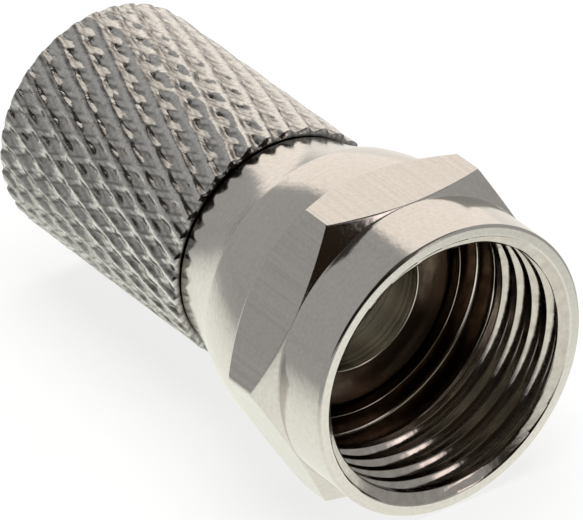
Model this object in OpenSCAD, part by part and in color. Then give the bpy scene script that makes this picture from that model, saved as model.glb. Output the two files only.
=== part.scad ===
// Twist-on coaxial connector, F type: a free-turning hexagon coupling nut held on the front
// of a knurled body that screws onto the end of a coaxial cable.
// The connector lies along X and its mouth faces +X. The origin is the centre of the
// contact face on the body's front rim. Millimetres.

/* [Coupling nut] */
// Width across the hexagon's flats
hex_af = 10.3; // [10.25:0.05:11.2]
// Diameter of the round sleeve in front of the hexagon
sleeve_d = 10.24; // [10:0.01:10.24]
// Distance from the contact face to the mouth
mouth_depth = 5.12; // [4.9:0.01:5.6]
// Length of the round sleeve, from the mouth to the middle of a flat
sleeve_len = 2.18; // [1.8:0.01:2.4]
// Length of a flat along its middle
flat_len = 2.36; // [2.1:0.01:2.4]
// Length of the rounded shoulder behind the hexagon
shoulder_len = 2.21; // [1.8:0.01:2.4]
// Diameter of the crease where the rolled skirt starts
crease_d = 9.4; // [9.3:0.05:9.8]
// Diameter of the skirt's rear edge
skirt_end_d = 7.74; // [7.5:0.02:8]

/* [Nut thread] */
// Minor diameter of the thread, as bored
thread_bore_d = 8.73; // [8.6:0.01:8.9]
// Distance from the mouth to the end of the thread
thread_end = 3.88; // [3.6:0.01:4]
// Diameter of the relief groove behind the thread
relief_d = 9.6; // [9.53:0.01:9.7]

/* [Body] */
// Overall length behind the contact face
body_len = 14.2; // [13:0.1:16]
// Distance from the contact face to the front face of the barrel
barrel_front = 4.27; // [4.2:0.01:4.4]
// Diameter over the knurl's ridges
knurl_d = 8.3; // [8.1:0.05:8.5]
// Diameter of the front rim that holds the nut
rim_d = 8; // [7.8:0.01:8.02]
// Diameter of the neck that the nut turns on
neck_d = 6.6; // [6.4:0.02:6.62]
// Hole for the cable's insulator
insulator_d = 4.9; // [4.7:0.05:5.1]
// Hole that bites on the cable's jacket
jacket_d = 6.4; // [6:0.05:6.6]

/* [Knurl] */
// Ridges of each hand around the barrel
ridge_count = 34; // [30:1:40]
// Axial length of one diamond, counted in quarter steps over the barrel
quarter_steps = 19; // [16:1:22]
// Height of the long right-hand ridges
ridge_h = 0.26; // [0.15:0.01:0.3]
// Height of the crossing left-hand ridges
cross_h = 0.18; // [0.1:0.01:0.25]
// Share of the spacing that a ridge's flat top takes
ridge_top = 0.2; // [0:0.05:0.4]
// Angle of the first ridge at the barrel's front, in degrees
first_ridge = 9.9; // [0:0.1:12]
// Turn of the whole pattern for each millimetre towards the rear, in degrees
ridge_lean = 0.3; // [0:0.05:1]

/* [Hidden] */
$fn = 96;

running_gap = 0.06;     // play between the neck and the nut's rear hole
end_gap = 0.05;         // play along the axis at each side of the nut's inner lip
skirt_gap = 0.07;       // between the skirt's end and the barrel's front face
over = 1;               // how far a cut reaches past the face that it starts from

// Nut, along X
mouth_x = mouth_depth;
hex_front_x = mouth_x - sleeve_len;
hex_rear_x = hex_front_x - flat_len;
crease_x = hex_rear_x - shoulder_len;
skirt_end_x = -barrel_front + skirt_gap;
thread_end_x = mouth_x - thread_end;
floor_x = 0.1;          // ring around the front rim
corner_r = hex_af / sqrt(3);
round_r = sleeve_d / 2; // just inside the flats, so a fine cone rings each end of the hexagon
front_chamfer = 28;     // degrees from the hexagon's end plane
rear_chamfer = 43;
edge_break = 0.07;      // broken edge of the mouth
mouth_bore_r = 4.72;    // countersink at the mouth
relief_fillet = 0.2;
relief_lead = 0.4;      // run of the relief's front wall for each millimetre of its depth
shoulder_bulge = 0.075; // the shoulder bulges, the rolled skirt hollows
skirt_hollow = 0.09;

// Body, along X
rim_len = 0.78;
rim_chamfer = 0.35;
front_wall = 0.85;      // wall between the jacket hole and the neck
rear_chamfer_len = 0.15;
jacket_mouth_r = 3.6;
seat_r = rim_d / 2 + running_gap;
lip_r = neck_d / 2 + running_gap;
lip_x = -rim_len - end_gap;
barrel_len = body_len - barrel_front;
jacket_end_x = -barrel_front - front_wall;
row_step = barrel_len / quarter_steps;
bar_front_x = 0.5;
around = 4 * ridge_count;
seam_angle = 15;        // keeps the seam of every turned face off the flats and corners

module along_x() { rotate([0, 90, 0]) children(); }

// Turned solid about X from [x, radius] points
module turned(profile) {
    along_x() rotate([0, 0, seam_angle]) rotate_extrude()
        polygon([for (p = profile) [p[1], p[0]]]);
}

// Points of a shallow arc from a to b, as [x, radius], that bulges by rise at its middle
function bowed(a, b, rise, steps = 8) =
    [for (i = [0 : steps]) let (t = i / steps)
        [a[0] + (b[0] - a[0]) * t, a[1] + (b[1] - a[1]) * t + 4 * rise * t * (1 - t)]];

// A quarter-round concave corner between a wall of radius r and a face at x
function corner_fillet(x, r, f, steps = 4) =
    [for (i = [0 : steps]) let (t = 90 * i / steps)
        [x + f - f * sin(t), r - f + f * cos(t)]];

// ---- coupling nut ----
function nut_outside() = concat(
    [[mouth_x, round_r - edge_break], [mouth_x - edge_break, round_r], [hex_front_x, round_r]],
    bowed([hex_rear_x, round_r], [crease_x, crease_d / 2], shoulder_bulge),
    bowed([crease_x, crease_d / 2], [skirt_end_x, skirt_end_d / 2], -skirt_hollow));

// Hexagon with both ends coned, so that its faces end in curves
module hexagon() {
    rise = corner_r - round_r;
    front_x = hex_front_x - rise * tan(front_chamfer);
    rear_x = hex_rear_x + rise * tan(rear_chamfer);
    intersection() {
        translate([hex_rear_x - over, 0, 0]) along_x() rotate([0, 0, 30])
            cylinder(h = flat_len + 2 * over, r = corner_r, $fn = 6);
        turned([[hex_front_x, 0], [hex_front_x, round_r], [front_x, corner_r],
                [front_x, corner_r + over], [rear_x, corner_r + over], [rear_x, corner_r],
                [hex_rear_x, round_r], [hex_rear_x, 0]]);
    }
}

module nut_bore() {
    bore_r = thread_bore_d / 2;
    countersink = mouth_bore_r - bore_r;
    relief_r = relief_d / 2;
    turned(concat(
        [[mouth_x + over, 0], [mouth_x + over, mouth_bore_r + over], [mouth_x, mouth_bore_r],
         [mouth_x - countersink, bore_r], [thread_end_x, bore_r],
         [thread_end_x - (relief_r - bore_r) * relief_lead, relief_r]],
        corner_fillet(floor_x, relief_r, relief_fillet),
        [[floor_x, seat_r], [lip_x, seat_r], [lip_x, 0]]));
}

module coupling_nut() {
    color([0.78, 0.77, 0.74]) difference() {
        union() {
            turned(concat([[mouth_x, 0]], nut_outside(), [[skirt_end_x, 0]]));
            hexagon();
        }
        nut_bore();
        translate([skirt_end_x - over, 0, 0]) along_x()
            cylinder(h = lip_x - skirt_end_x + 2 * over, r = lip_r);
    }
}

// ---- knurled body ----
// Quarter-step lattice of the diamond knurl. Ridge lines of both hands pass through
// points whose i + j is even, so each cell is split between those points.
function to_ridge(q) = abs(q - 4 * round(q / 4)) / 2;    // 0 on a ridge, 1 between two
function ridge(q) = min(1, (1 - to_ridge(q)) / (1 - ridge_top));
function knurl_r(i, j) =
    knurl_d / 2 - ridge_h + max(ridge_h * ridge(i + j), cross_h * ridge(i - j));
function ring(x, j, limit) =
    [for (i = [0 : around - 1])
        let (r = min(limit, knurl_r(i, j)),
             a = first_ridge + 360 * i / around + ridge_lean * (x + barrel_front))
        [x, r * cos(a), r * sin(a)]];
function ring_faces(k, flip) =
    [for (i = [0 : around - 1])
        let (n = (i + 1) % around, a = k * around + i, b = k * around + n,
             c = a + around, d = b + around)
        each ((i + flip) % 2 == 0 ? [[a, b, d], [a, d, c]] : [[a, b, c], [b, d, c]])];

// Knurled bar, a little longer than the barrel at the front
module knurled_bar() {
    rows = concat(
        [ring(bar_front_x, -1, knurl_d)],
        [for (j = [-1 : quarter_steps - 1]) ring(-barrel_front - j * row_step, j, knurl_d)],
        [ring(-body_len + rear_chamfer_len, quarter_steps - rear_chamfer_len / row_step, knurl_d),
         ring(-body_len, quarter_steps, knurl_d / 2 - rear_chamfer_len)]);
    last = len(rows) - 1;
    polyhedron(
        points = [for (row = rows) each row],
        faces = concat(
            [[for (i = [around - 1 : -1 : 0]) i]],
            [for (k = [0 : last - 1]) each ring_faces(k, k)],
            [[for (i = [0 : around - 1]) last * around + i]]),
        convexity = 4);
}

// What is turned off the bar to leave the neck and the front rim
module turned_away() {
    rim_r = rim_d / 2;
    turned([[0, 0], [0, rim_r - rim_chamfer], [-rim_chamfer, rim_r], [-rim_len, rim_r],
            [-rim_len, neck_d / 2], [-barrel_front, neck_d / 2], [-barrel_front, knurl_d],
            [bar_front_x + over, knurl_d], [bar_front_x + over, 0]]);
}

module insulator_hole() {
    translate([jacket_end_x - over, 0, 0]) along_x()
        cylinder(h = 2 * over - jacket_end_x, d = insulator_d);
}

module jacket_hole() {
    hole_r = jacket_d / 2;
    turned([[jacket_end_x, 0], [jacket_end_x, hole_r],
            [-body_len + jacket_mouth_r - hole_r, hole_r], [-body_len, jacket_mouth_r],
            [-body_len - over, jacket_mouth_r + over], [-body_len - over, 0]]);
}

module knurled_body() {
    color([0.62, 0.62, 0.61]) difference() {
        knurled_bar();
        turned_away();
        insulator_hole();
        jacket_hole();
    }
}

knurled_body();
coupling_nut();
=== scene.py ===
import math

import bmesh
import bpy
from mathutils import Matrix, Vector


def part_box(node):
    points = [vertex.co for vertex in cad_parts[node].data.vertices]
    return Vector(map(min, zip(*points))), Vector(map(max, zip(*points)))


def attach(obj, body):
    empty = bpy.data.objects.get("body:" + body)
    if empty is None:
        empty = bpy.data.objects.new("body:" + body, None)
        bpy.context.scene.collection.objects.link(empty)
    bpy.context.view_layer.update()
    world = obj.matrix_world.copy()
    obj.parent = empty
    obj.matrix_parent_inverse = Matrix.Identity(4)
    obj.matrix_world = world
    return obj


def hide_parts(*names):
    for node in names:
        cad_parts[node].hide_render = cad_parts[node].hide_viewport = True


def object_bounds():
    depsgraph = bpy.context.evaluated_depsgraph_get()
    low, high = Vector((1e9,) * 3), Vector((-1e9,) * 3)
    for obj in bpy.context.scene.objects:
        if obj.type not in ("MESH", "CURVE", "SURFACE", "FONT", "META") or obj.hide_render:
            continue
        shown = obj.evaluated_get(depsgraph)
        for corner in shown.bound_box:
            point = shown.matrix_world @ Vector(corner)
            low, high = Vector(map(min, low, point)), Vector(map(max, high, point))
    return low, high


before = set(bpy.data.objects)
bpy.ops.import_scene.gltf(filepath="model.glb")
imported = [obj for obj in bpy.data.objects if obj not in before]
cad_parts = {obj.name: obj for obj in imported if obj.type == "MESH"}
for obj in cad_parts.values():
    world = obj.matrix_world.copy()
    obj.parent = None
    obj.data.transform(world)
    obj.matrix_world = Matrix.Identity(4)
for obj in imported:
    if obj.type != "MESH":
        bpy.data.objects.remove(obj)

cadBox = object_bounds()
mm = 0.001
fullTurn = 2 * math.pi

nutLow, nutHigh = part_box("coupling_nut")
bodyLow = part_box("knurled_body")[0]
mouthX = nutHigh[0] / mm
skirtEndX = nutLow[0] / mm
hexFlatRadius = nutHigh[2] / mm
hexCornerRadius = nutHigh[1] / mm
barrelRearX = bodyLow[0] / mm
samePoint = 0.0008 * mm     # points closer than this are merged


def feed(tree, socket, value):
    # the value is another node's output or a plain one
    if isinstance(value, bpy.types.NodeSocket):
        tree.links.new(value, socket)
    else:
        socket.default_value = value


def putNode(tree, kind, *values, **settings):
    node = tree.nodes.new(kind)
    for name, value in settings.items():
        setattr(node, name, value)
    sockets = [s for s in node.inputs if s.enabled]
    for socket, value in zip(sockets, values):
        feed(tree, socket, value)
    return node


def maths(tree, operation, *values):
    node = putNode(tree, "ShaderNodeMath", operation=operation)
    for socket, value in zip(node.inputs, values):
        feed(tree, socket, value)
    return node.outputs[0]


def ramp(tree, value, fromLow, fromHigh, toLow, toHigh, smooth=False):
    node = tree.nodes.new("ShaderNodeMapRange")
    node.interpolation_type = "SMOOTHSTEP" if smooth else "LINEAR"
    for socket, number in zip(node.inputs, (value, fromLow, fromHigh, toLow, toHigh)):
        feed(tree, socket, number)
    return node.outputs[0]


def treeInputs(tree, floats=(), whole=()):
    for name in floats:
        tree.interface.new_socket(name=name, in_out="INPUT", socket_type="NodeSocketFloat")
    for name in whole:
        tree.interface.new_socket(name=name, in_out="INPUT", socket_type="NodeSocketInt")
    tree.interface.new_socket(name="Geometry", in_out="OUTPUT", socket_type="NodeSocketGeometry")


def evaluatedMesh(piece, tree, inputs):
    # runs the tree once on the piece and keeps the result as a plain mesh
    modifier = piece.modifiers.new(tree.name, "NODES")
    modifier.node_group = tree
    for item in tree.interface.items_tree:
        if item.in_out == "INPUT" and item.name in inputs:
            modifier[item.identifier] = inputs[item.name]
    graph = bpy.context.evaluated_depsgraph_get()
    graph.update()
    mesh = bpy.data.meshes.new_from_object(piece.evaluated_get(graph))
    piece.modifiers.remove(modifier)
    return mesh


def finishTree(tree, geometry, material):
    # every tree ends in plain, smooth geometry that carries its material
    smooth = putNode(tree, "GeometryNodeSetShadeSmooth", geometry)
    real = putNode(tree, "GeometryNodeRealizeInstances", smooth.outputs[0])
    painted = putNode(tree, "GeometryNodeSetMaterial", real.outputs[0])
    painted.inputs["Material"].default_value = material
    output = tree.nodes.new("NodeGroupOutput")
    tree.links.new(painted.outputs[0], output.inputs[0])


def easedOutline(corners, steps=3, share=0.22, support=1.9):
    # corners are (x, radius, softness); a soft corner becomes a small curve that takes at most that
    # share of each side, with a support point past each end, so that smooth shading stays there
    line = []
    for i, (x, r, softness) in enumerate(corners):
        here = Vector((x, r))
        if softness == 0 or i in (0, len(corners) - 1):
            line.append(here)
            continue
        before = Vector(corners[i - 1][:2]) - here
        after = Vector(corners[i + 1][:2]) - here
        toBefore = before.normalized() * min(softness, share * before.length)
        toAfter = after.normalized() * min(softness, share * after.length)
        start = here + toBefore
        end = here + toAfter
        line.append(here + toBefore * support)
        for k in range(steps + 1):
            t = k / steps
            line.append(start * (1 - t) ** 2 + here * 2 * t * (1 - t) + end * t ** 2)
        line.append(here + toAfter * support)
    return line


def bowedPoints(start, end, rise, steps=9):
    # the inner points of a shallow arc between two outline points
    inner = []
    for k in range(1, steps):
        t = k / steps
        x = start[0] + (end[0] - start[0]) * t
        r = start[1] + (end[1] - start[1]) * t + 4 * rise * t * (1 - t)
        inner.append((x, r, 0))
    return inner


def loftAround(name, outlineAt, columns, materials, finishAt=lambda row: 0):
    # sweeps an outline, which may change with the angle, once round the X axis; finishAt tells
    # which material each row of faces takes
    points = []
    faces = []
    indices = []
    for i in range(columns):
        angle = fullTurn * i / columns
        outline = outlineAt(angle)
        rows = len(outline)
        for x, r in outline:
            points.append((x * mm, r * mm * math.cos(angle), r * mm * math.sin(angle)))
    for i in range(columns):
        here = i * rows
        there = ((i + 1) % columns) * rows
        for k in range(rows - 1):
            faces.append((here + k, here + k + 1, there + k + 1, there + k))
            indices.append(finishAt(k))
    mesh = bpy.data.meshes.new(name)
    mesh.from_pydata(points, [], faces)
    mesh.polygons.foreach_set("material_index", indices)
    mesh.polygons.foreach_set("use_smooth", [True] * len(faces))
    for material in materials:
        mesh.materials.append(material)
    mesh.update()
    return mesh


def finishWithin(mesh, index, lowX, highX, lowRadius, highRadius, softLean=(0.3, 0.95)):
    # gives that material to the faces between two positions and two radii, apart from the soft
    # edges, which face between those shares along the axis
    for face in mesh.polygons:
        x, y, z = face.center
        square = not softLean[0] < abs(face.normal.x) < softLean[1]
        if square and lowX < x / mm < highX and lowRadius < math.hypot(y, z) / mm < highRadius:
            face.material_index = index


def plainObject(name, mesh):
    piece = bpy.data.objects.new(name, mesh)
    bpy.context.scene.collection.objects.link(piece)
    return piece


def joinedShell(name, meshes, materials, extraFaces=None):
    # merges open shells that share their rims into one closed mesh with its faces outwards
    shell = bmesh.new()
    for mesh in meshes:
        shell.from_mesh(mesh)
    if extraFaces:
        extraFaces(shell)
    bmesh.ops.remove_doubles(shell, verts=shell.verts, dist=samePoint)
    bmesh.ops.dissolve_degenerate(shell, edges=shell.edges, dist=samePoint)
    bmesh.ops.recalc_face_normals(shell, faces=shell.faces)
    openEdges = sum(1 for edge in shell.edges if len(edge.link_faces) != 2)
    for face in shell.faces:
        face.smooth = True
    mesh = bpy.data.meshes.new(name)
    shell.to_mesh(mesh)
    shell.free()
    for material in materials:
        mesh.materials.append(material)
    triangles = sum(len(p.vertices) - 2 for p in mesh.polygons)
    print(name, "triangles", triangles, "open edges", openEdges)
    return plainObject(name, mesh)


threadForm = {             # shares of the pitch, from the start of a crest
    "rootMiddle": 0.67,
    "rootHalf": 0.08,
    "flankEnd": 0.33,      # a crest takes the 0.34 that is left
    "turnsAhead": 4.00001,     # keeps the phase above zero
}


def threadTree(material):
    # a helical thread, cut on a sheet that is wrapped round the bore
    tree = bpy.data.node_groups.new("helical thread", "GeometryNodeTree")
    treeInputs(tree,
               floats=("Pitch", "First Row", "Low End", "High End", "Crest Radius", "Root Radius",
                       "Low Radius", "Low Slope", "High Radius", "High Slope", "Edge Slope"),
               whole=("Columns", "Rows", "Rows Per Turn"))
    given = tree.nodes.new("NodeGroupInput").outputs
    grid = putNode(tree, "GeometryNodeMeshGrid", 1.0, 1.0,
                   maths(tree, "ADD", given["Columns"], 1),
                   maths(tree, "ADD", given["Rows"], 1))
    place = putNode(tree, "ShaderNodeSeparateXYZ", putNode(tree, "GeometryNodeInputPosition").outputs[0])
    turn = maths(tree, "ADD", place.outputs[0], 0.5)
    row = maths(tree, "MULTIPLY", maths(tree, "ADD", place.outputs[1], 0.5), given["Rows"])
    # one row is a fixed part of a turn, and the sheet climbs by one pitch in a turn
    rise = maths(tree, "DIVIDE", row, given["Rows Per Turn"])
    climb = maths(tree, "ADD", rise, turn)
    rawX = maths(tree, "MULTIPLY_ADD", climb, given["Pitch"], given["First Row"])
    x = maths(tree, "MINIMUM", maths(tree, "MAXIMUM", rawX, given["Low End"]), given["High End"])
    pitches = maths(tree, "DIVIDE", maths(tree, "SUBTRACT", x, given["First Row"]), given["Pitch"])
    phase = maths(tree, "FRACT", maths(tree, "ADD", pitches,
                                       maths(tree, "SUBTRACT", threadForm["turnsAhead"], turn)))
    fromRoot = maths(tree, "ABSOLUTE", maths(tree, "SUBTRACT", phase, threadForm["rootMiddle"]))
    depth = ramp(tree, fromRoot, threadForm["rootHalf"], threadForm["flankEnd"], 1.0, 0.0)
    cut = maths(tree, "MULTIPLY_ADD", depth,
                maths(tree, "SUBTRACT", given["Root Radius"], given["Crest Radius"]),
                given["Crest Radius"])
    lowWall = maths(tree, "SUBTRACT", given["Low Radius"],
                    maths(tree, "MULTIPLY", maths(tree, "SUBTRACT", x, given["Low End"]),
                          given["Low Slope"]))
    fromHigh = maths(tree, "SUBTRACT", given["High End"], x)
    highWall = maths(tree, "SUBTRACT", given["High Radius"],
                     maths(tree, "MULTIPLY", fromHigh, given["High Slope"]))
    highLimit = maths(tree, "MULTIPLY_ADD", fromHigh, given["Edge Slope"], given["High Radius"])
    widest = maths(tree, "MAXIMUM", cut, maths(tree, "MAXIMUM", lowWall, highWall))
    radius = maths(tree, "MINIMUM", widest, highLimit)
    angle = maths(tree, "MULTIPLY", turn, fullTurn)
    around = putNode(tree, "ShaderNodeCombineXYZ", x,
                     maths(tree, "MULTIPLY", radius, maths(tree, "COSINE", angle)),
                     maths(tree, "MULTIPLY", radius, maths(tree, "SINE", angle)))
    wrapped = tree.nodes.new("GeometryNodeSetPosition")
    tree.links.new(grid.outputs[0], wrapped.inputs["Geometry"])
    tree.links.new(around.outputs[0], wrapped.inputs["Position"])
    merged = tree.nodes.new("GeometryNodeMergeByDistance")
    merged.inputs["Distance"].default_value = samePoint
    tree.links.new(wrapped.outputs[0], merged.inputs["Geometry"])
    finishTree(tree, merged.outputs[0], material)
    return tree


def threadStrip(tree, columns, sizes):
    pitch = sizes["pitch"]
    rowStep = pitch / sizes["rowsPerTurn"]
    turnsBefore = math.ceil((sizes["crestAt"] - sizes["lowEnd"] + pitch) / pitch)
    firstRow = sizes["crestAt"] - turnsBefore * pitch
    inputs = {
        "Pitch": pitch * mm, "First Row": firstRow * mm,
        "Low End": sizes["lowEnd"] * mm, "High End": sizes["highEnd"] * mm,
        "Crest Radius": sizes["crestRadius"] * mm, "Root Radius": sizes["rootRadius"] * mm,
        "Low Radius": sizes["lowRadius"] * mm, "Low Slope": sizes["lowSlope"],
        "High Radius": sizes["highRadius"] * mm, "High Slope": sizes["highSlope"],
        "Edge Slope": sizes["edgeSlope"],
        "Columns": columns, "Rows Per Turn": sizes["rowsPerTurn"],
        "Rows": math.ceil((sizes["highEnd"] - firstRow) / rowStep),
    }
    blank = plainObject("thread blank", bpy.data.meshes.new("thread blank"))
    mesh = evaluatedMesh(blank, tree, inputs)
    bpy.data.objects.remove(blank)
    return mesh


def mixedColour(tree, factor, first, second):
    # inputs 6 and 7 and output 2 are the node's colours
    node = tree.nodes.new("ShaderNodeMix")
    node.data_type = "RGBA"
    for number, value in ((0, factor), (6, first), (7, second)):
        feed(tree, node.inputs[number], value)
    return node.outputs[2]


def noise(tree, coordinates, scale, detail, roughness=0.55):
    node = tree.nodes.new("ShaderNodeTexNoise")
    tree.links.new(coordinates, node.inputs["Vector"])
    node.inputs["Scale"].default_value = scale
    node.inputs["Detail"].default_value = detail
    node.inputs["Roughness"].default_value = roughness
    return node.outputs[0]


def bumped(tree, height, distance, normal=None):
    node = tree.nodes.new("ShaderNodeBump")
    node.inputs["Strength"].default_value = 1.0
    node.inputs["Distance"].default_value = distance
    tree.links.new(height, node.inputs["Height"])
    if normal:
        tree.links.new(normal, node.inputs["Normal"])
    return node.outputs[0]


def nickel(name, sizes):
    # nickel plating over turned brass: tool marks under a smooth skin, with faint patches
    material = bpy.data.materials.new(name)
    material.use_nodes = True
    tree = material.node_tree
    shader = tree.nodes["Principled BSDF"]
    shader.inputs["Metallic"].default_value = 1.0
    place = tree.nodes.new("ShaderNodeTexCoord").outputs["Object"]
    parts = putNode(tree, "ShaderNodeSeparateXYZ", place)
    radial = maths(tree, "SQRT", maths(tree, "ADD",
                   maths(tree, "POWER", parts.outputs[1], 2.0),
                   maths(tree, "POWER", parts.outputs[2], 2.0)))
    if sizes["marks"] == "turned":
        lines = putNode(tree, "ShaderNodeCombineXYZ", parts.outputs[0], radial, 0.0).outputs[0]
    else:
        lines = putNode(tree, "ShaderNodeCombineXYZ", 0.0, parts.outputs[1],
                        parts.outputs[2]).outputs[0]
    marks = noise(tree, lines, sizes["markScale"], detail=4.0, roughness=0.7)
    swell = noise(tree, place, sizes["swellScale"], detail=2.0)
    patches = noise(tree, place, sizes["patchScale"], detail=4.0, roughness=0.6)
    streaky = maths(tree, "SUBTRACT", marks, patches)
    tint = maths(tree, "MULTIPLY_ADD", streaky, sizes["streaks"], patches)
    tintFrom, tintTo = 0.35, 0.65
    patchFrom, patchTo = 0.3, 0.75
    colour = mixedColour(tree, ramp(tree, tint, tintFrom, tintTo, 0.0, 1.0), sizes["colour"],
                         sizes["colourPatch"])
    rough = ramp(tree, patches, patchFrom, patchTo, *sizes["roughness"])
    if "paintedShade" in sizes:
        # painted light and shade on the knurl: the attribute is 1 where the plating keeps its colour and
        # 0 where it takes the painted shade colour, with more roughness
        paintedLight = tree.nodes.new("ShaderNodeAttribute")
        paintedLight.attribute_name = "paintedLight"
        paintedShading = paintedLight.outputs["Fac"]
        dullBelow = 0.3
        colour = mixedColour(tree, paintedShading, sizes["paintedShade"], colour)
        rough = maths(tree, "ADD", rough,
                      ramp(tree, paintedShading, dullBelow, 1.0, sizes["dullRoughness"], 0.0))
    tree.links.new(colour, shader.inputs["Base Color"])
    tree.links.new(rough, shader.inputs["Roughness"])
    normal = bumped(tree, swell, sizes["swellDepth"] * mm)
    normal = bumped(tree, marks, sizes["markDepth"] * mm, normal)
    tree.links.new(normal, shader.inputs["Normal"])
    return material


plating = {                # noise scales per metre, depths in millimetres
    "turned": {
        "marks": "turned", "markScale": 9000, "markDepth": 0.0016, "streaks": 0.35,
        "swellScale": 2600, "swellDepth": 0.007, "patchScale": 7000,
        "colour": (0.74, 0.71, 0.675, 1), "colourPatch": (0.65, 0.625, 0.59, 1),
        "roughness": (0.1, 0.17),
    },
    "drawn": {
        "marks": "drawn", "markScale": 7000, "markDepth": 0.005, "streaks": 0.6,
        "swellScale": 2600, "swellDepth": 0.007, "patchScale": 8000,
        "colour": (0.73, 0.7, 0.665, 1), "colourPatch": (0.59, 0.565, 0.53, 1),
        "roughness": (0.12, 0.2),
    },
    # painted shade: darker than the turned plating, for the shade in the nut's threaded bore
    "threaded": {
        "marks": "turned", "markScale": 5000, "markDepth": 0.001, "streaks": 0.3,
        "swellScale": 3000, "swellDepth": 0.005, "patchScale": 3000,
        "colour": (0.63, 0.595, 0.555, 1), "colourPatch": (0.49, 0.455, 0.415, 1),
        "roughness": (0.08, 0.15),
    },
    # painted shade: dark brownish plating for the seat, the floor, the relief groove and the thread's
    # start deep inside the nut
    "groove": {
        "marks": "turned", "markScale": 5000, "markDepth": 0.002, "streaks": 0.3,
        "swellScale": 3000, "swellDepth": 0.006, "patchScale": 2500,
        "colour": (0.27, 0.2, 0.15, 1), "colourPatch": (0.09, 0.063, 0.046, 1),
        "roughness": (0.16, 0.26),
    },
    "knurled": {
        "marks": "turned", "markScale": 9000, "markDepth": 0.001, "streaks": 0,
        "swellScale": 9000, "swellDepth": 0.01, "patchScale": 8000,
        "colour": (0.8, 0.785, 0.765, 1), "colourPatch": (0.6, 0.59, 0.57, 1),
        # the painted shade colour of the knurl's pits and crevices
        "paintedShade": (0.07, 0.06, 0.05, 1), "dullRoughness": 0.05,
        "roughness": (0.11, 0.19),
    },
    "bodyTurned": {
        "marks": "turned", "markScale": 8000, "markDepth": 0.012, "streaks": 0.85,
        "swellScale": 1500, "swellDepth": 0.006, "patchScale": 2500,
        "colour": (0.8, 0.765, 0.69, 1), "colourPatch": (0.36, 0.335, 0.29, 1),
        "roughness": (0.14, 0.22),
    },
    # painted shade: darker brownish plating for the body's front rim, deep inside the nut
    "rim": {
        "marks": "turned", "markScale": 6000, "markDepth": 0.003, "streaks": 0.4,
        "swellScale": 3000, "swellDepth": 0.008, "patchScale": 6000,
        "colour": (0.6, 0.505, 0.43, 1), "colourPatch": (0.34, 0.275, 0.225, 1),
        "roughness": (0.15, 0.26),
    },
}

turnedNickel = nickel("turned nickel", plating["turned"])
drawnNickel = nickel("drawn hexagon nickel", plating["drawn"])
threadNickelPaintedShade = nickel("threaded nickel, painted shade", plating["threaded"])
grooveNickelPaintedShade = nickel("groove nickel, painted shade", plating["groove"])
knurlNickel = nickel("knurled nickel", plating["knurled"])
bodyNickel = nickel("body nickel", plating["bodyTurned"])
rimNickelPaintedShade = nickel("body rim nickel, painted shade", plating["rim"])
print("plating done")


couplingNut = {            # millimetres and degrees
    "columns": 360,
    "sleeveLength": 2.18,
    "sleeveRadius": 5.12,
    "flatLength": 2.36,
    "shoulderLength": 2.21,
    "creaseRadius": 4.70,
    "skirtEndRadius": 3.87,
    "frontCone": 28,
    "rearCone": 43,
    "cornerRounding": 0.0155,
    "edgeBreak": 0.07,
    "shoulderBulge": 0.075,
    "skirtHollow": 0.09,
    "lipRadius": 3.36,
    "lipX": -0.83,
    "seatRadius": 4.06,
    "floorX": 0.1,
    "mouthInnerRadius": 4.75,
    "grooveStart": -0.5,
    "grooveEnd": 1.16,
    "grooveRadius": 4.83,
    "flatCorner": 5,           # where the front cone meets the flats, counted from the bore's end
    "thread": {
        "rowsPerTurn": 28,
        "pitch": 0.794,
        "crestAt": 4.06,   # where a crest starts on the +Y side
        "lowEnd": 1.07,
        "highEnd": 5.09,
        "crestRadius": 4.365,
        "rootRadius": 4.70,
        "lowRadius": 4.80,
        "lowSlope": 1.5,
        "highRadius": 4.72,
        "highSlope": 2.5,
        "edgeSlope": 3.0,
    },
}
nutThread = couplingNut["thread"]


def hexRadius(angle):
    # flats lie at the top and the bottom, corners at the +Y and -Y sides
    fromMiddle = (angle + math.pi / 6) % (math.pi / 3) - math.pi / 6
    fromCorner = math.pi / 6 - abs(fromMiddle)
    return hexFlatRadius / math.cos(fromCorner)


def nutOutline(angle):
    s = couplingNut
    sleeveR = s["sleeveRadius"]
    frontX = mouthX - s["sleeveLength"]
    rearX = frontX - s["flatLength"]
    creaseX = rearX - s["shoulderLength"]
    radius = min(hexRadius(angle), hexCornerRadius - s["cornerRounding"])
    coneFrontX = frontX - (radius - sleeveR) * math.tan(math.radians(s["frontCone"]))
    coneRearX = rearX + (radius - sleeveR) * math.tan(math.radians(s["rearCone"]))
    shoulder = bowedPoints((rearX, sleeveR), (creaseX, s["creaseRadius"]), s["shoulderBulge"])
    skirt = bowedPoints((creaseX, s["creaseRadius"]), (skirtEndX, s["skirtEndRadius"]),
                        -s["skirtHollow"])
    # x, radius and softness of each corner, from the thread's front end round the outside
    corners = [
        (nutThread["highEnd"], nutThread["highRadius"], 0),
        (mouthX, s["mouthInnerRadius"], 0.03),
        (mouthX, sleeveR - s["edgeBreak"], 0.03),
        (mouthX - s["edgeBreak"], sleeveR, 0.04),
        (frontX, sleeveR, 0.05),
        (coneFrontX, radius, 0.05),
        (coneRearX, radius, 0.05),
        (rearX, sleeveR, 0.06),
        *shoulder,
        (creaseX, s["creaseRadius"], 0.05),
        *skirt,
        (skirtEndX, s["skirtEndRadius"], 0.04),
        (skirtEndX, s["lipRadius"], 0.04),
        (s["lipX"], s["lipRadius"], 0.03),
        (s["lipX"], s["seatRadius"], 0.03),
        (s["floorX"], s["seatRadius"], 0.04),
        (s["floorX"], nutThread["lowRadius"], 0.2),
        (nutThread["lowEnd"], nutThread["lowRadius"], 0),
    ]
    return easedOutline(corners)


def outlineRowAfter(corner, steps=3):
    # the first outline row past the soft corner with that number
    return 1 + (steps + 3) * corner


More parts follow.
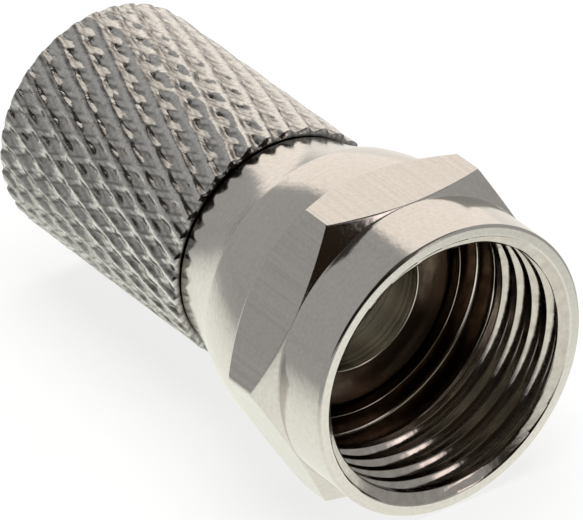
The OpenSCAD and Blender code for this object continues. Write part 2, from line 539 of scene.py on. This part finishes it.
flatStart = outlineRowAfter(couplingNut["flatCorner"])
edgeRows = 3
flatRows = range(flatStart - edgeRows, flatStart + edgeRows - 1)    # with a part of the soft edges
turnedIndex, drawnIndex, threadIndex, grooveIndex = range(4)


def nutFinish(row):
    return drawnIndex if row in flatRows else turnedIndex


nutShell = loftAround("nut shell", nutOutline, couplingNut["columns"],
                      (turnedNickel, drawnNickel), nutFinish)
thread = threadTree(threadNickelPaintedShade)
nutBore = threadStrip(thread, couplingNut["columns"], nutThread)
nutBore.polygons.foreach_set("material_index", [threadIndex] * len(nutBore.polygons))
# the faces deep inside the nut take the painted shade of the groove plating
for mesh in (nutShell, nutBore):
    finishWithin(mesh, grooveIndex, couplingNut["grooveStart"], couplingNut["grooveEnd"], 0,
                 couplingNut["grooveRadius"])
couplingNutPiece = joinedShell("couplingNut", (nutShell, nutBore),
                               (turnedNickel, drawnNickel, threadNickelPaintedShade, grooveNickelPaintedShade))
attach(couplingNutPiece, "nut")
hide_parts("coupling_nut")
print("coupling nut done")


knurledBody = {            # millimetres
    "turnedColumns": 136,
    "barrelFrontX": -4.27,
    "barrelRadius": 4.15,
    "rimRadius": 4.0,
    "rimChamfer": 0.35,
    "rimLength": 0.78,
    "neckRadius": 3.3,
    "insulatorRadius": 2.45,
    "insulatorEdge": 0.05,     # softness of the edge in front of the insulator
    "jacketEndX": -5.12,
    "jacketRadius": 3.2,
    "jacketMouthRadius": 3.6,
    "rearEdgeDrop": 0.15,
    "rearEdgeLength": 0.25,
    "frontLedge": 0.3,         # the turned face ends this far below the barrel
    "rearLedge": 0.1,
    "knurl": {                 # millimetres, degrees and shares of the ridge spacing
        "ridgesPerHand": 34,
        "columnsPerRidge": 16,
        "quarterSteps": 19,
        "rowsPerQuarter": 6,
        "ridgeHeight": 0.15,
        "crossHeight": 0.09,
        "ridgeTop": 0.16,
        "longSide": 0.36,
        "steepSide": 0.16,
        "footWidth": 0.15,
        "crossTop": 0.12,
        "firstRidge": 9.9,     # at the barrel's front
        "lean": 0.3,           # turn of the pattern in each millimetre
        "waver": 0.2,
        "waverScale": 1300.0,
        "heightWaver": 1.3,
        "heightScale": 1500.0,
        "burr": 0.065,
        "burrScale": 4200.0,
    },
    "paintedShading": {                 # painted light and shade: 1 keeps the plating colour and 0 is painted shade
        "side": 0.76,
        "crossLine": 0.22,     # more painted light than the side, along the middle of a cross ridge
        "crossLineEnd": 0.35,
        "topFrom": 0.8,        # ridge height at which the painted highlight on the top starts
        "topFull": 0.95,
        "footShadeClimb": 0.7,      # how far the painted shade at the foot climbs the steep side
        "footShadeFrom": (0.15, 0.5, 1.0, 0.5),
        "crossFoot": 0.22,     # past the top of a cross ridge
        "crossFootLine": (0.05, 0.2, 0.55, 0.0),
        "crossFootHigh": (0.5, 0.85, 1.0, 0.0),
        "longFootLine": (0.02, 0.09, 0.4, 0.0),
    },
    "thread": {
        "rowsPerTurn": 14,
        "pitch": 0.9,
        "crestAt": -8.0,
        "lowEnd": -13.8,
        "highEnd": -5.6,
        "crestRadius": 3.2,
        "rootRadius": 3.42,
        "lowRadius": 3.44,
        "lowSlope": 0.6,
        "highRadius": 3.2,
        "highSlope": 1.0,
        "edgeSlope": 0.5,
    },
}
barrelRadius = knurledBody["barrelRadius"]
knurl = knurledBody["knurl"]
jacketThread = knurledBody["thread"]


def spotNoise(tree, position, scale):
    # a soft noise that runs to both sides of zero
    return maths(tree, "SUBTRACT", noise(tree, position, scale, detail=1.0, roughness=0.5), 0.5)


def knurlTree(material):
    tree = bpy.data.node_groups.new("diamond knurl", "GeometryNodeTree")
    tree.interface.new_socket(name="Bar", in_out="INPUT", socket_type="NodeSocketGeometry")
    treeInputs(tree,
               floats=("Bar Radius", "Front", "Diamond Length", "Ridge Height", "Cross Height",
                       "Ridge Top", "Long Side", "Steep Side", "Foot Width", "Cross Top",
                       "First Ridge", "Lean", "Waver", "Height Waver", "Burr"),
               whole=("Ridges",))
    given = tree.nodes.new("NodeGroupInput").outputs
    position = putNode(tree, "GeometryNodeInputPosition").outputs[0]
    place = putNode(tree, "ShaderNodeSeparateXYZ", position)
    x, y, z = place.outputs
    radius = maths(tree, "SQRT", maths(tree, "ADD", maths(tree, "MULTIPLY", y, y),
                                       maths(tree, "MULTIPLY", z, z)))
    angle = maths(tree, "ARCTAN2", z, y)
    turn = maths(tree, "DIVIDE", angle, fullTurn)
    drift = maths(tree, "MULTIPLY", spotNoise(tree, position, knurl["waverScale"]), given["Waver"])
    ring = maths(tree, "ADD", maths(tree, "MULTIPLY", turn, given["Ridges"]), drift)
    axial = maths(tree, "DIVIDE", maths(tree, "SUBTRACT", given["Front"], x),
                  given["Diamond Length"])
    # along the spacing a long ridge has its flat top, a gentle side, the valley and a steep side
    past = maths(tree, "FRACT", maths(tree, "ADD", maths(tree, "ADD", ring, axial),
                                      maths(tree, "MULTIPLY", given["Ridge Top"], 0.5)))
    foot = maths(tree, "SUBTRACT", 1.0, given["Steep Side"])
    longFoot = maths(tree, "ADD", given["Ridge Top"], given["Long Side"])
    longRidge = maths(tree, "MAXIMUM", ramp(tree, past, given["Ridge Top"], longFoot, 1.0, 0.0),
                      ramp(tree, past, foot, 1.0, 0.0, 1.0))
    fromCross = maths(tree, "MULTIPLY",
                      maths(tree, "PINGPONG", maths(tree, "SUBTRACT", ring, axial), 0.5), 2.0)
    crossRidge = ramp(tree, fromCross, given["Cross Top"], 1.0, 1.0, 0.0)
    heightDrift = maths(tree, "MULTIPLY_ADD", spotNoise(tree, position, knurl["heightScale"]),
                        given["Height Waver"], 1.0)
    crossHeight = maths(tree, "MULTIPLY", given["Cross Height"], heightDrift)
    besideLong = maths(tree, "MULTIPLY", crossRidge, maths(tree, "SUBTRACT", 1.0, longRidge))
    height = maths(tree, "MULTIPLY_ADD", longRidge, given["Ridge Height"],
                   maths(tree, "MULTIPLY", besideLong, crossHeight))
    height = maths(tree, "MULTIPLY_ADD", spotNoise(tree, position, knurl["burrScale"]),
                   given["Burr"], height)
    valley = maths(tree, "SUBTRACT", given["Bar Radius"], given["Ridge Height"])
    cut = maths(tree, "MINIMUM", radius, maths(tree, "ADD", valley, height))
    fromFront = maths(tree, "SUBTRACT", x, given["Front"])
    turned = maths(tree, "ADD", angle, maths(tree, "MULTIPLY_ADD", fromFront, given["Lean"],
                                             given["First Ridge"]))
    knurled = putNode(tree, "ShaderNodeCombineXYZ", x,
                      maths(tree, "MULTIPLY", cut, maths(tree, "COSINE", turned)),
                      maths(tree, "MULTIPLY", cut, maths(tree, "SINE", turned)))
    moved = tree.nodes.new("GeometryNodeSetPosition")
    tree.links.new(given["Bar"], moved.inputs["Geometry"])
    tree.links.new(knurled.outputs[0], moved.inputs["Position"])
    # painted light and shade: the ridges keep most of the plating colour and painted shade lies along
    # the foot of each steep side, most of all in the pits between the cross ridges
    paintedShading = knurledBody["paintedShading"]
    footStart = maths(tree, "SUBTRACT", foot, given["Foot Width"])
    footEnd = maths(tree, "MULTIPLY_ADD", given["Steep Side"], paintedShading["footShadeClimb"], foot)
    atFoot = maths(tree, "MINIMUM", ramp(tree, past, footStart, foot, 0.0, 1.0),
                   ramp(tree, past, foot, footEnd, 1.0, 0.0))
    footShade = maths(tree, "MULTIPLY", atFoot, ramp(tree, crossRidge, *paintedShading["footShadeFrom"]))
    crossLine = ramp(tree, fromCross, given["Cross Top"], paintedShading["crossLineEnd"], 1.0, 0.0)
    side = maths(tree, "MULTIPLY_ADD", crossLine, paintedShading["crossLine"], paintedShading["side"])
    side = maths(tree, "MAXIMUM", side,
                 ramp(tree, longRidge, paintedShading["topFrom"], paintedShading["topFull"], 0.0, 1.0))
    side = maths(tree, "MAXIMUM", side, ramp(tree, past, foot, footEnd, 0.0, 1.0))
    # fine lines of painted shade run beside each cross ridge and along the foot of the gentle side
    crossFoot = maths(tree, "ADD", given["Cross Top"], paintedShading["crossFoot"])
    fromCrossFoot = maths(tree, "ABSOLUTE", maths(tree, "SUBTRACT", fromCross, crossFoot))
    besideCross = maths(tree, "MULTIPLY", ramp(tree, fromCrossFoot, *paintedShading["crossFootLine"]),
                        ramp(tree, longRidge, *paintedShading["crossFootHigh"]))
    fromLongFoot = maths(tree, "ABSOLUTE", maths(tree, "SUBTRACT", past, longFoot))
    besideLongFoot = ramp(tree, fromLongFoot, *paintedShading["longFootLine"])
    deepestShade = maths(tree, "MAXIMUM", maths(tree, "MAXIMUM", footShade, besideCross), besideLongFoot)
    paintedLight = maths(tree, "MULTIPLY", side, maths(tree, "SUBTRACT", 1.0, deepestShade))
    kept = tree.nodes.new("GeometryNodeStoreNamedAttribute")
    kept.data_type = "FLOAT"
    kept.domain = "POINT"
    kept.inputs["Name"].default_value = "paintedLight"
    tree.links.new(moved.outputs[0], kept.inputs["Geometry"])
    tree.links.new(paintedLight, kept.inputs["Value"])
    finishTree(tree, kept.outputs[0], material)
    return tree


def barrelOutline(angle):
    s = knurledBody
    rows = knurl["quarterSteps"] * knurl["rowsPerQuarter"]
    length = s["barrelFrontX"] - barrelRearX
    outline = []
    for k in range(rows + 1):
        x = s["barrelFrontX"] - length * k / rows
        fromRear = min(1, (x - barrelRearX) / s["rearEdgeLength"])
        drop = s["rearEdgeDrop"] * (1 - math.sqrt(1 - (1 - fromRear) ** 2))
        outline.append(Vector((x, barrelRadius - drop)))
    return outline


def bodyOutline(angle):
    s = knurledBody
    # x, radius and softness of each corner, from the barrel's front face to the jacket hole
    corners = [
        (s["barrelFrontX"], barrelRadius - s["frontLedge"], 0),
        (s["barrelFrontX"], s["neckRadius"], 0.05),
        (-s["rimLength"], s["neckRadius"], 0.05),
        (-s["rimLength"], s["rimRadius"], 0.03),
        (-s["rimChamfer"], s["rimRadius"], 0.04),
        (0, s["rimRadius"] - s["rimChamfer"], 0.04),
        (0, s["insulatorRadius"], s["insulatorEdge"]),
        (s["jacketEndX"], s["insulatorRadius"], 0.05),
        (s["jacketEndX"], s["jacketRadius"], 0.05),
        (jacketThread["highEnd"], jacketThread["highRadius"], 0),
    ]
    return easedOutline(corners)


def rearOutline(angle):
    s = knurledBody
    corners = [
        (jacketThread["lowEnd"], jacketThread["lowRadius"], 0),
        (barrelRearX, s["jacketMouthRadius"], 0.04),
        (barrelRearX, barrelRadius - s["rearEdgeDrop"] - s["rearLedge"], 0),
    ]
    return easedOutline(corners)


def ringAt(shell, x, lowRadius, highRadius, samePlane=1e-7):
    # the vertices of one rim that lie between two radii, in order round the axis
    ring = []
    for vert in shell.verts:
        reach = math.hypot(vert.co.y, vert.co.z)
        if abs(vert.co.x - x * mm) < samePlane and lowRadius * mm < reach < highRadius * mm:
            ring.append(vert)
    ring.sort(key=lambda vert: round(math.atan2(vert.co.z, vert.co.y) % fullTurn, 5))
    return ring


def fanRings(shell, coarse, fine):
    # closes the step between a coarse ring and a fine one that has some edges to each coarse one
    ratio = len(fine) // len(coarse)
    for k in range(len(coarse)):
        here, there = coarse[k], coarse[(k + 1) % len(coarse)]
        edge = [fine[(k * ratio + n) % len(fine)] for n in range(ratio + 1)]
        half = ratio // 2
        for n in range(half):
            shell.faces.new((here, edge[n], edge[n + 1]))
        if ratio % 2:
            shell.faces.new((here, edge[half], edge[half + 1], there))
        else:
            shell.faces.new((here, edge[half], there))
        for n in range(half + ratio % 2, ratio):
            shell.faces.new((there, edge[n], edge[n + 1]))


def closeBarrelEnds(shell):
    s = knurledBody
    slack = 0.001      # millimetres
    frontR = barrelRadius - s["frontLedge"]
    rearR = barrelRadius - s["rearEdgeDrop"] - s["rearLedge"]
    for x, radius, outside in ((s["barrelFrontX"], frontR, barrelRadius + slack),
                               (barrelRearX, rearR, barrelRadius - s["rearEdgeDrop"] + slack)):
        turned = ringAt(shell, x, radius - slack, radius + slack)
        knurled = [vert for vert in ringAt(shell, x, radius, outside) if vert not in turned]
        fanRings(shell, turned, knurled)


barrelColumns = knurl["ridgesPerHand"] * knurl["columnsPerRidge"]
barBlank = plainObject("bar", loftAround("bar", barrelOutline, barrelColumns, (knurlNickel,)))
knurledBarrel = evaluatedMesh(barBlank, knurlTree(knurlNickel), {
    "Bar Radius": barrelRadius * mm,
    "Front": knurledBody["barrelFrontX"] * mm,
    "Diamond Length": 4 * (knurledBody["barrelFrontX"] - barrelRearX) / knurl["quarterSteps"] * mm,
    "Ridge Height": knurl["ridgeHeight"] * mm,
    "Cross Height": knurl["crossHeight"] * mm,
    "Ridge Top": knurl["ridgeTop"],
    "Long Side": knurl["longSide"],
    "Steep Side": knurl["steepSide"],
    "Foot Width": knurl["footWidth"],
    "Cross Top": knurl["crossTop"],
    "First Ridge": math.radians(knurl["firstRidge"]),
    "Lean": math.radians(knurl["lean"]) / mm,
    "Waver": knurl["waver"],
    "Height Waver": knurl["heightWaver"],
    "Burr": knurl["burr"] * mm,
    "Ridges": knurl["ridgesPerHand"],
})
bpy.data.objects.remove(barBlank)
turnedColumns = knurledBody["turnedColumns"]
knurlIndex, bodyIndex, rimIndex = range(3)
bodyShell = loftAround("body shell", bodyOutline, turnedColumns, (bodyNickel,),
                       lambda row: bodyIndex)
rearShell = loftAround("rear shell", rearOutline, turnedColumns, (bodyNickel,),
                       lambda row: bodyIndex)
jacketBore = threadStrip(thread, turnedColumns, jacketThread)
jacketBore.polygons.foreach_set("material_index", [bodyIndex] * len(jacketBore.polygons))
# the rim deep inside the nut takes that painted shade
rimMargin = 0.2
finishWithin(bodyShell, rimIndex, -knurledBody["rimLength"] - rimMargin, rimMargin,
             knurledBody["insulatorRadius"] + knurledBody["insulatorEdge"],
             knurledBody["rimRadius"] + rimMargin)
knurledBodyPiece = joinedShell("knurledBody", (knurledBarrel, bodyShell, rearShell, jacketBore),
                               (knurlNickel, bodyNickel, rimNickelPaintedShade), closeBarrelEnds)
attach(knurledBodyPiece, "cable_side")
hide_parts("knurled_body")
print("knurled body done")


studio = {
    "floorColour": (0.90, 0.90, 0.88, 1),
    "floorRoughness": 0.9,
    "floorGap": 0.00001,           # metres below the connector
    "paintedPoolColour": (1.05, 1.06, 0.97, 1),     # painted pool of light on the floor, which only the metal sees
    # the floor beyond the pool, painted darker, which only the metal sees
    "farColour": (0.34, 0.335, 0.325, 1),
    "floorSize": 0.6,
    "nearStretch": (0.45, 1, 0),   # the painted pool of light reaches further along the connector
    "nearFloor": (0.004, 0.026),   # metres from the middle, where the painted pool of light fades out
    # a painted patch of light on the floor behind the connector, which only the metal sees
    "paintedPatchSides": (126, 27, 5),     # azimuth, half width and feather in degrees
    "paintedPatchReach": (0.011, 0.016),
    "paintedPatchColour": (0.92, 0.88, 0.82, 1),
    "shadowShare": 0.22,           # how much of the floor's own shading the camera sees
    "mirrorShare": 0.10,           # and the metal
    "lampHeight": 0.35,
    "lampSize": 0.30,
    "lampPower": 1.45,
    "fill": (0.40, 0.395, 0.385, 1),
    "panels": [
        # azimuth from +X and half width, elevation and half height, feather, in degrees, and colour
        (0, 200, 90, 38, 4, (0.05, 0.045, 0.04, 1)),
        (147, 24, 22, 46, 3, (1.10, 1.02, 0.93, 1)),
        (-7, 22, 22, 28, 3, (0.018, 0.012, 0.007, 1)),
        (-52, 36, 40, 31, 4, (0.016, 0.012, 0.009, 1)),
        (22, 6, 20, 10, 3, (1.6, 1.4, 1.36, 1)),
    ],
}


def within(tree, angle, centre, half, feather):
    # 1 inside the half width, falling to 0 over the feather, for an angle that may wrap
    off = maths(tree, "SUBTRACT", angle, math.radians(centre))
    off = maths(tree, "ABSOLUTE", maths(tree, "WRAP", off, math.pi, -math.pi))
    return ramp(tree, off, math.radians(half - feather), math.radians(half + feather),
                1.0, 0.0, smooth=True)


def studioWorld():
    world = bpy.data.worlds.new("studio")
    bpy.context.scene.world = world
    world.use_nodes = True
    tree = world.node_tree
    direction = tree.nodes.new("ShaderNodeTexCoord").outputs["Generated"]
    x, y, z = putNode(tree, "ShaderNodeSeparateXYZ", direction).outputs
    azimuth = maths(tree, "ARCTAN2", y, x)
    elevation = maths(tree, "ARCSINE", z)
    colour = putNode(tree, "ShaderNodeRGB").outputs[0]
    colour.default_value = studio["fill"]
    for side, halfWidth, height, halfHeight, feather, shade in studio["panels"]:
        share = maths(tree, "MULTIPLY", within(tree, azimuth, side, halfWidth, feather),
                      within(tree, elevation, height, halfHeight, feather))
        colour = mixedColour(tree, share, colour, shade)
    camera = tree.nodes.new("ShaderNodeLightPath").outputs["Is Camera Ray"]
    seen = mixedColour(tree, camera, colour, (1, 1, 1, 1))
    tree.links.new(seen, tree.nodes["Background"].inputs["Color"])


def studioFloor():
    size = studio["floorSize"]
    floorZ = cadBox[0][2] - studio["floorGap"]
    mesh = bpy.data.meshes.new("floor")
    mesh.from_pydata([(-size, -size, floorZ), (size, -size, floorZ), (size, size, floorZ),
                      (-size, size, floorZ)], [], [(0, 1, 2, 3)])
    floor = plainObject("floor", mesh)
    material = bpy.data.materials.new("pale floor")
    material.use_nodes = True
    tree = material.node_tree
    shader = tree.nodes["Principled BSDF"]
    shader.inputs["Base Color"].default_value = studio["floorColour"]
    shader.inputs["Roughness"].default_value = studio["floorRoughness"]
    place = tree.nodes.new("ShaderNodeTexCoord").outputs["Object"]
    alongAndAcross = putNode(tree, "ShaderNodeVectorMath", place, studio["nearStretch"],
                             operation="MULTIPLY")
    fromMiddle = putNode(tree, "ShaderNodeVectorMath", alongAndAcross.outputs[0],
                         operation="LENGTH")
    # a painted pool of light round the connector, fading to a darker floor further out
    far = ramp(tree, fromMiddle.outputs["Value"], *studio["nearFloor"], 0.0, 1.0, smooth=True)
    sheet = mixedColour(tree, far, studio["paintedPoolColour"], studio["farColour"])
    # a painted patch of light on the floor behind the connector; there is no card or lamp there
    x, y = putNode(tree, "ShaderNodeSeparateXYZ", place).outputs[:2]
    away = maths(tree, "SQRT", maths(tree, "ADD", maths(tree, "MULTIPLY", x, x),
                                     maths(tree, "MULTIPLY", y, y)))
    paintedPatch = maths(tree, "MULTIPLY", within(tree, maths(tree, "ARCTAN2", y, x), *studio["paintedPatchSides"]),
                ramp(tree, away, *studio["paintedPatchReach"], 0.0, 1.0, smooth=True))
    sheet = mixedColour(tree, paintedPatch, sheet, studio["paintedPatchColour"])
    path = tree.nodes.new("ShaderNodeLightPath").outputs
    white = putNode(tree, "ShaderNodeEmission", (1, 1, 1, 1), 1.0)
    # the metal mostly sees the painted floor, a glow that only glossy rays get
    mirrored = putNode(tree, "ShaderNodeEmission", sheet, 1.0)
    seen = putNode(tree, "ShaderNodeMixShader",
                   maths(tree, "MULTIPLY", path["Is Camera Ray"], 1 - studio["shadowShare"]),
                   shader.outputs[0], white.outputs[0])
    both = putNode(tree, "ShaderNodeMixShader",
                   maths(tree, "MULTIPLY", path["Is Glossy Ray"], 1 - studio["mirrorShare"]),
                   seen.outputs[0], mirrored.outputs[0])
    tree.links.new(both.outputs[0], tree.nodes["Material Output"].inputs["Surface"])
    mesh.materials.append(material)


def floorLamp():
    # lights the floor softly from above, so that it is white and takes the shadow
    data = bpy.data.lights.new("overhead", "AREA")
    data.size = studio["lampSize"]
    data.energy = studio["lampPower"]
    lamp = bpy.data.objects.new("overhead", data)
    lamp.location = (0, 0, studio["lampHeight"])
    lamp.visible_glossy = False
    bpy.context.scene.collection.objects.link(lamp)


def studioCamera():
    shot = {
        "azimuth": 54.4, "elevation": 31.7,
        "distance": 315.8, "lens": 618, "sensor": 36, "nearest": 10,    # millimetres
        "aimRight": -5.027, "aimUp": 3.528,     # millimetres from the mouth's centre
    }
    azimuth = math.radians(shot["azimuth"])
    elevation = math.radians(shot["elevation"])
    right = Vector((math.cos(azimuth), math.sin(azimuth), 0))
    back = Vector((math.sin(azimuth) * math.cos(elevation),
                   -math.cos(azimuth) * math.cos(elevation), math.sin(elevation)))
    up = back.cross(right)
    mouth = Vector((mouthX, 0, 0))
    place = (mouth + shot["aimRight"] * right + shot["aimUp"] * up + shot["distance"] * back) * mm
    data = bpy.data.cameras.new("camera")
    data.lens = shot["lens"]
    data.sensor_width = shot["sensor"]
    data.clip_start = shot["nearest"] * mm
    camera = bpy.data.objects.new("camera", data)
    camera.matrix_world = Matrix.Translation(place) @ Matrix((right, up, back)).transposed().to_4x4()
    bpy.context.scene.collection.objects.link(camera)
    bpy.context.scene.camera = camera


studioCamera()
studioFloor()
floorLamp()
studioWorld()
bpy.context.scene.view_settings.view_transform = "Standard"
print("studio done")
